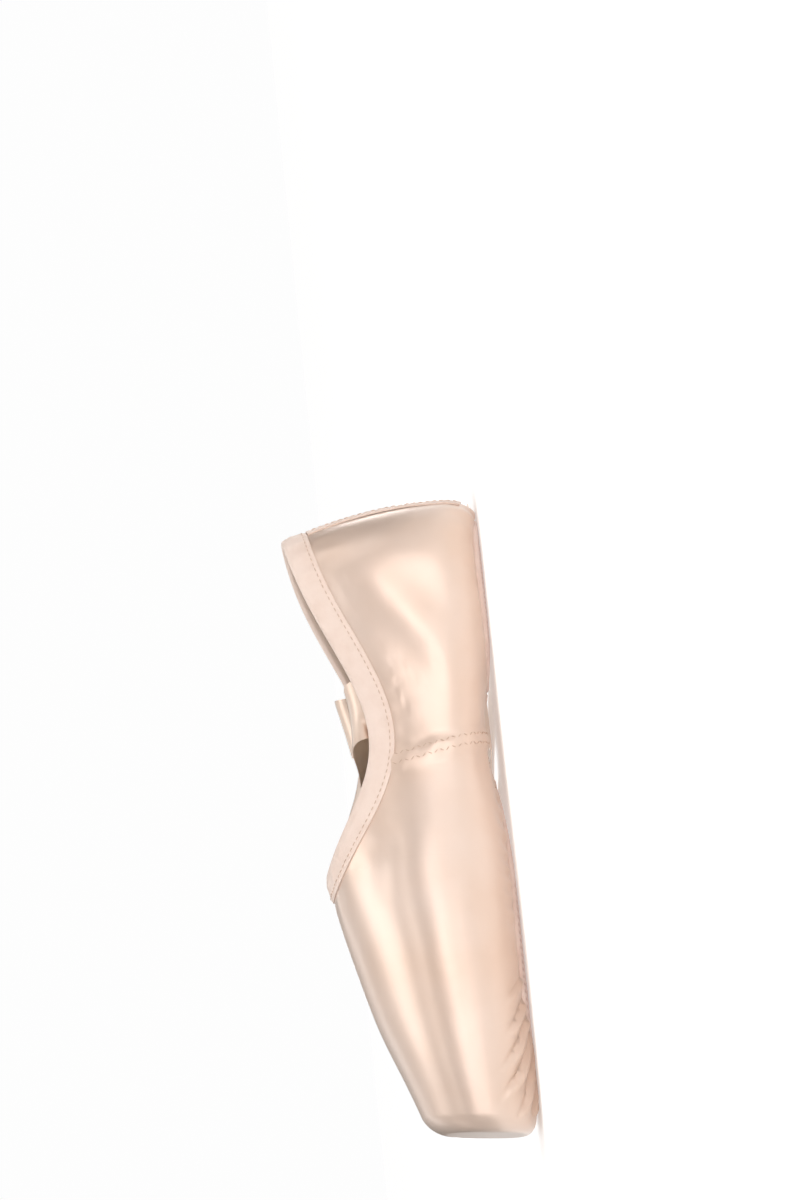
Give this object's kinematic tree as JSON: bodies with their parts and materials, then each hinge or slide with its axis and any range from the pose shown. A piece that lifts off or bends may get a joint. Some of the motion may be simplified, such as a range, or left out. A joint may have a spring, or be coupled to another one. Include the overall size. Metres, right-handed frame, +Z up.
{
  "type": "pointe shoe",
  "caption": "Satin pointe shoe with a flat stiffened toe, a split sole and two long ankle ribbons, empty and standing flat.",
  "frame": {"origin": "on the floor under the middle of the shoe, ribbons aside", "axes": "+X towards the toe, +Y to the shoe's left, +Z up from the floor"},
  "size_m": [0.2362, 0.2643, 0.0711],
  "materials": {
    "satin": "satin",
    "binding": "matt",
    "sole": "matt",
    "sock": "matt",
    "ribbon": "satin"
  },
  "bodies": {
    "root": {"upper": "satin", "topline_binding": "binding", "heel_stay": "binding", "forepart_sole": "sole", "heel_sole": "sole", "insole": "sock", "ribbon_left": "ribbon", "ribbon_right": "ribbon"}
  },
  "joints": []
}
